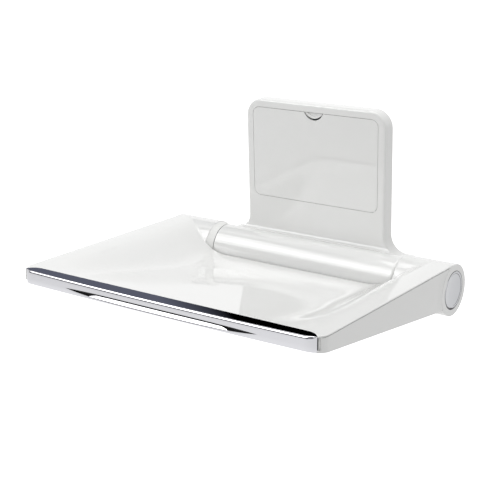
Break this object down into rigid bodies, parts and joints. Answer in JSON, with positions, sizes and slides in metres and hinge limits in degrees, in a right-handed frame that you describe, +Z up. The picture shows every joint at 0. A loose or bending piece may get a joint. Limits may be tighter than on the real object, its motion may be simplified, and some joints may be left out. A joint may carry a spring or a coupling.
{
  "type": "fold down wall seat",
  "caption": "White fold-down wall seat: dished seat with a chrome front trim and grip scoop, hinged on the barrel of a small upright wall bracket with an access cover.",
  "frame": {"origin": "centre of the four wall-fixing holes, on the wall plane behind the upright", "axes": "+X to the right seen from the front, +Y into the wall, +Z up; the seat reaches towards -Y"},
  "size_m": [0.4016, 0.3341, 0.226],
  "materials": {
    "white_shell": "glossy white moulding",
    "white_seat": "glossy white moulding",
    "white_cap": "satin white",
    "chrome_trim": "polished chrome",
    "zinc_steel": "zinc plated",
    "cast_arm": "as cast",
    "screw_steel": "turned steel",
    "bush_polymer": "dark slide plastic",
    "pad_rubber": "matt"
  },
  "bodies": {
    "bracket": {"wall_plate": "zinc_steel", "bracket_housing": "white_shell", "housing_screws": "screw_steel", "hinge_bush_left": "bush_polymer", "hinge_bush_right": "bush_polymer", "friction_washer_left": "bush_polymer", "friction_washer_right": "bush_polymer", "stop_pad": "pad_rubber"},
    "cover": {"access_cover": "white_shell"},
    "latch": {"cover_latch": "white_shell"},
    "seat": {"seat_top": "white_seat", "seat_base": "white_seat", "front_trim": "chrome_trim", "cross_plate": "zinc_steel", "arm_left": "cast_arm", "arm_right": "cast_arm", "hinge_shaft": "screw_steel", "stop_lever": "zinc_steel", "shaft_keys": "screw_steel", "sleeve_left": "bush_polymer", "sleeve_right": "bush_polymer", "end_washer_left": "screw_steel", "end_washer_right": "screw_steel", "end_screws": "screw_steel", "end_cap_left": "white_cap", "end_cap_right": "white_cap", "seat_screws": "screw_steel", "arm_screws": "screw_steel", "trim_screws": "screw_steel"}
  },
  "joints": [
    {"name": "seat_fold", "type": "hinge", "parent": "bracket", "child": "seat", "pos_m": [0, -0.036, -0.128], "axis": [-1, 0, 0], "range_deg": [0, 87.6]},
    {"name": "cover_tilt", "type": "hinge", "parent": "bracket", "child": "cover", "pos_m": [0, -0.014, -0.0535], "axis": [1, 0, 0], "range_deg": [0, 1.2]},
    {"name": "latch_pull", "type": "slide", "parent": "cover", "child": "latch", "axis": [0, 0, -1], "range_m": [0, 0.0015], "stiffness_N_per_m": 400}
  ]
}
